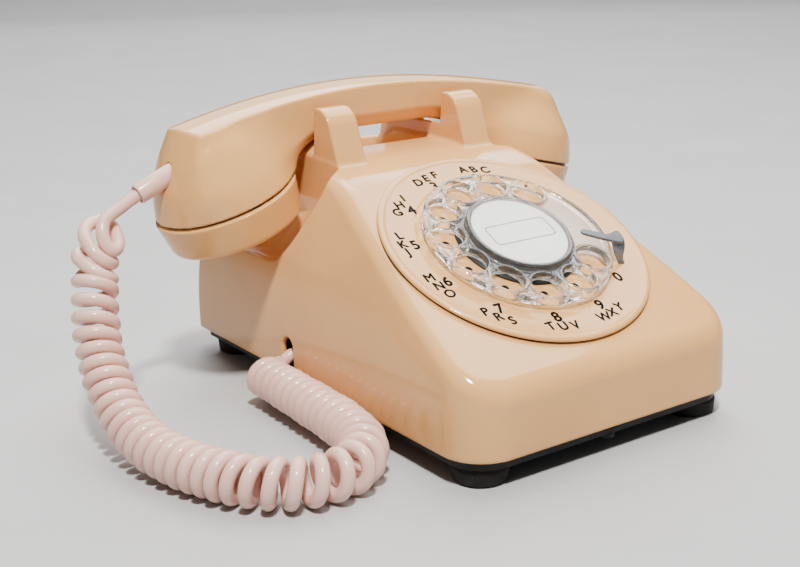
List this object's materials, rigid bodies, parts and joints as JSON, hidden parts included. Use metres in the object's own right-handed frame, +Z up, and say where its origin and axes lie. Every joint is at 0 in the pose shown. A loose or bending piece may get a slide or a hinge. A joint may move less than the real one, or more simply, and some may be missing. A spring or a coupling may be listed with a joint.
{
  "type": "rotary telephone",
  "caption": "Beige rotary desk telephone: sloped housing with clear finger-wheel dial, cradle with lift-off handset and coiled cord.",
  "frame": {"origin": "on the table surface, under the middle of the base and handset", "axes": "+Z up, +X to the right of the person dialling (towards the earpiece), +Y towards the back of the telephone"},
  "size_m": [0.2702, 0.218, 0.1286],
  "materials": {
    "beige_plastic": "glossy moulded",
    "handset_plastic": "glossy moulded",
    "black_paint": "satin",
    "black_rubber": "matte",
    "steel": "satin",
    "brass": "satin",
    "aluminium": "satin",
    "clear_plastic": "clear polished",
    "white_card": "matte card",
    "plunger_plastic": "smooth moulded",
    "dark_plastic": "moulded",
    "cord_vinyl": "glossy vinyl"
  },
  "bodies": {
    "base": {"housing": "beige_plastic", "base_plate": "black_paint", "feet": "black_rubber", "housing_screws": "black_paint", "number_plate": "beige_plastic", "finger_stop": "steel", "dial_frame": "steel", "dial_bush": "brass", "dial_screws": "steel", "governor_cup": "steel", "gear_bridge": "steel", "motor_spring": "steel", "pulse_contacts": "brass", "dial_bracket": "steel", "hook_pivot_pin": "steel", "hook_bracket": "steel", "hook_spring": "steel", "hook_contacts": "brass", "cord_coil": "cord_vinyl", "cord_lead_base": "cord_vinyl", "cord_anchor": "steel", "ringer_frame": "steel", "gong_left": "brass", "gong_right": "brass", "gong_screws": "steel", "ringer_coil": "dark_plastic", "network_block": "dark_plastic", "terminal_screws": "brass"},
    "handset": {"handset_shell": "handset_plastic", "transmitter_cap": "handset_plastic", "receiver_cap": "handset_plastic", "transmitter_unit": "aluminium", "transmitter_cup": "dark_plastic", "receiver_unit": "dark_plastic", "receiver_leads": "cord_vinyl", "cord_sleeve": "cord_vinyl", "cord_lead_handset": "cord_vinyl"},
    "left_plunger": {"plunger_left": "plunger_plastic"},
    "right_plunger": {"plunger_right": "plunger_plastic"},
    "hook": {"hook_lever": "steel"},
    "dial_rotor": {"finger_wheel": "clear_plastic", "dial_card": "white_card", "card_cover": "clear_plastic", "dial_shaft": "steel", "wheel_clamp": "steel", "main_gear": "brass"},
    "dial_idler": {"idler_gear": "brass", "pulse_cam": "dark_plastic"},
    "governor": {"governor_spindle": "steel", "governor_weights": "brass"},
    "clapper_arm": {"clapper": "brass"},
    "loudness_control": {"loudness_wheel": "black_rubber"}
  },
  "joints": [
    {"name": "handset_lift", "type": "slide", "parent": "base", "child": "handset", "axis": [0, 0, 1], "range_m": [0, 0.1], "deforming": ["cord_coil"]},
    {"name": "plunger_left_rise", "type": "slide", "parent": "base", "child": "left_plunger", "axis": [0, 0, 1], "range_m": [0, 0.005]},
    {"name": "plunger_right_rise", "type": "slide", "parent": "base", "child": "right_plunger", "axis": [0, 0, 1], "range_m": [0, 0.005]},
    {"name": "hook_lever_turn", "type": "hinge", "parent": "base", "child": "hook", "pos_m": [0, 0.026, 0.0775], "axis": [1, 0, 0], "range_deg": [0, 9], "deforming": ["hook_spring"]},
    {"name": "dial_turn", "type": "hinge", "parent": "base", "child": "dial_rotor", "pos_m": [0, -0.04892, 0.07098], "axis": [0, -0.4661, 0.8847], "range_deg": [-335, 0], "stiffness_Nm_per_rad": 0.008, "springref_deg": 57.3},
    {"name": "dial_idler_turn", "type": "hinge", "parent": "base", "child": "dial_idler", "pos_m": [-0.01879, -0.05497, 0.06779], "axis": [0, -0.4661, 0.8847], "range_deg": [0, 1341]},
    {"name": "governor_turn", "type": "hinge", "parent": "base", "child": "governor", "pos_m": [-0.01491, -0.06779, 0.06104], "axis": [0, -0.4661, 0.8847], "range_deg": [-5361, 0]},
    {"name": "clapper_swing", "type": "hinge", "parent": "base", "child": "clapper_arm", "pos_m": [0, 0.058, 0.03], "axis": [0, 0, 1], "range_deg": [-2.5, 2.5], "stiffness_Nm_per_rad": 0.01},
    {"name": "loudness_turn", "type": "hinge", "parent": "base", "child": "loudness_control", "pos_m": [0.054, 0.03, 0.005], "axis": [0, 0, 1], "range_deg": [0, 120]}
  ],
  "couplings": [
    {"joint": "plunger_left_rise", "follows": "handset_lift", "ratio": 0.05},
    {"joint": "plunger_right_rise", "follows": "handset_lift", "ratio": 0.05},
    {"joint": "hook_lever_turn", "follows": "handset_lift", "rad_per_m": 1.5692},
    {"joint": "dial_idler_turn", "follows": "dial_turn", "ratio": -4},
    {"joint": "governor_turn", "follows": "dial_turn", "ratio": 16}
  ]
}
